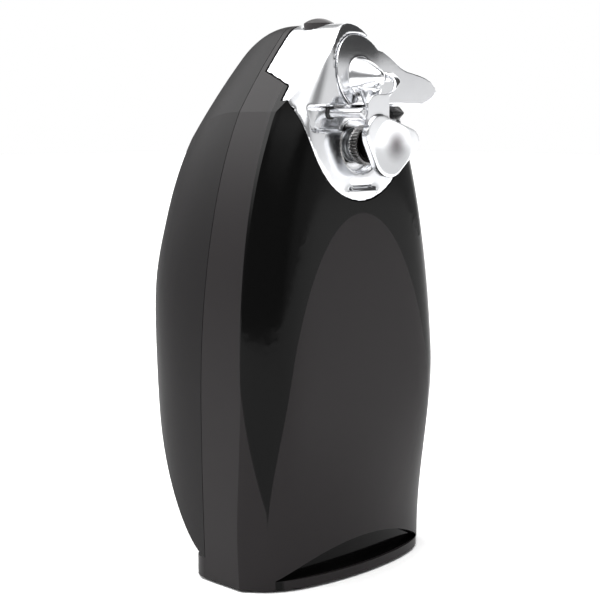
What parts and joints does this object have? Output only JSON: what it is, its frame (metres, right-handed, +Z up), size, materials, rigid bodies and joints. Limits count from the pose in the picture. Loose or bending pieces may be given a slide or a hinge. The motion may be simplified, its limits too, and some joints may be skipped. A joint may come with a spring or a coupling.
{
  "type": "electric can opener",
  "caption": "Tall electric can opener: arched black housing, chrome top with lever, magnet arm, toothed feed wheel, geared motor and switch.",
  "frame": {"origin": "centre of the underside of the rubber base pad, on the body's middle plane", "axes": "+Z up along the height, +X to the right seen from the front, -Y towards the front"},
  "size_m": [0.1154, 0.1051, 0.2398],
  "materials": {
    "housing_black": "moulded black, polished border and textured field",
    "cover_charcoal": "fine textured charcoal",
    "bright_chrome": "bright plated",
    "pad_rubber": "matte",
    "inlet_rubber": "matte",
    "zinc_steel": "zinc plated",
    "blade_steel": "ground",
    "ground_steel": "satin",
    "magnet_black": "ferrite",
    "stud_black": "satin black",
    "wheel_blackened": "blackened hardened steel",
    "bearing_bronze": "sintered",
    "gear_nylon": "natural nylon",
    "core_steel": "laminated",
    "coil_copper": "enamelled wire",
    "fan_plastic": "moulded",
    "spring_steel": "music wire"
  },
  "bodies": {
    "body": {"front_housing": "housing_black", "rear_cover": "cover_charcoal", "chrome_cap": "bright_chrome", "base_pad": "pad_rubber", "cord_inlet_bush": "inlet_rubber", "mounting_frame": "zinc_steel", "guide_post": "bright_chrome", "guide_stud": "stud_black", "drive_shaft_bush": "ground_steel", "gear_pins": "ground_steel", "gear_clips": "ground_steel", "motor_stator": "core_steel", "motor_coil": "coil_copper", "motor_front_bracket": "zinc_steel", "motor_rear_bracket": "zinc_steel", "motor_bearings": "bearing_bronze", "motor_standoffs": "ground_steel", "motor_bolts": "ground_steel", "frame_screws": "ground_steel", "cover_screws": "ground_steel", "switch_body": "fan_plastic", "switch_terminals": "bearing_bronze", "lever_spring": "spring_steel", "button_spring": "spring_steel"},
    "lever": {"cutting_lever": "bright_chrome", "cutting_blade": "blade_steel", "lever_pivot_shaft": "ground_steel", "magnet_arm_pin": "ground_steel", "switch_crank": "gear_nylon"},
    "magnet_arm": {"magnet_arm": "bright_chrome", "lid_magnet": "magnet_black"},
    "feed_drive": {"output_gear": "gear_nylon", "drive_shaft": "ground_steel", "feed_wheel": "wheel_blackened", "feed_wheel_nut": "wheel_blackened", "drive_shaft_clip": "ground_steel"},
    "second_gear": {"second_gear": "gear_nylon"},
    "first_gear": {"first_gear": "gear_nylon"},
    "motor_rotor": {"motor_rotor": "core_steel", "motor_shaft": "ground_steel", "motor_fan": "fan_plastic"},
    "switch_slider": {"switch_slider": "fan_plastic"},
    "release_button": {"release_button": "bright_chrome", "button_clip": "ground_steel"}
  },
  "joints": [
    {"name": "lever_lift", "type": "hinge", "parent": "body", "child": "lever", "pos_m": [0.002, 0, 0.2165], "axis": [0, -1, 0], "range_deg": [0, 22], "stiffness_Nm_per_rad": 0.02, "springref_deg": -20.05, "deforming": ["lever_spring"]},
    {"name": "magnet_arm_swing", "type": "hinge", "parent": "lever", "child": "magnet_arm", "pos_m": [0, -0.0234, 0.2146], "axis": [-1, 0, 0], "range_deg": [0, 70]},
    {"name": "motor_spin", "type": "hinge", "parent": "body", "child": "motor_rotor", "pos_m": [0, 0, 0.1162], "axis": [0, 1, 0], "continuous": true},
    {"name": "first_gear_spin", "type": "hinge", "parent": "body", "child": "first_gear", "pos_m": [0, 0, 0.1342], "axis": [0, 1, 0], "continuous": true},
    {"name": "second_gear_spin", "type": "hinge", "parent": "body", "child": "second_gear", "pos_m": [0, 0, 0.1582], "axis": [0, 1, 0], "continuous": true},
    {"name": "feed_wheel_spin", "type": "hinge", "parent": "body", "child": "feed_drive", "pos_m": [0, 0, 0.1862], "axis": [0, 1, 0], "continuous": true},
    {"name": "switch_slide", "type": "slide", "parent": "body", "child": "switch_slider", "axis": [1, 0, 0], "range_m": [0, 0.0031]},
    {"name": "button_press", "type": "slide", "parent": "body", "child": "release_button", "axis": [0, 0, -1], "range_m": [0, 0.0025], "stiffness_N_per_m": 300, "springref_m": -0.001, "deforming": ["button_spring"]}
  ],
  "couplings": [
    {"joint": "first_gear_spin", "follows": "motor_spin", "ratio": -0.2},
    {"joint": "second_gear_spin", "follows": "motor_spin", "ratio": 0.05},
    {"joint": "feed_wheel_spin", "follows": "motor_spin", "ratio": -0.013636},
    {"joint": "switch_slide", "follows": "lever_lift", "m_per_rad": 0.0079509}
  ]
}
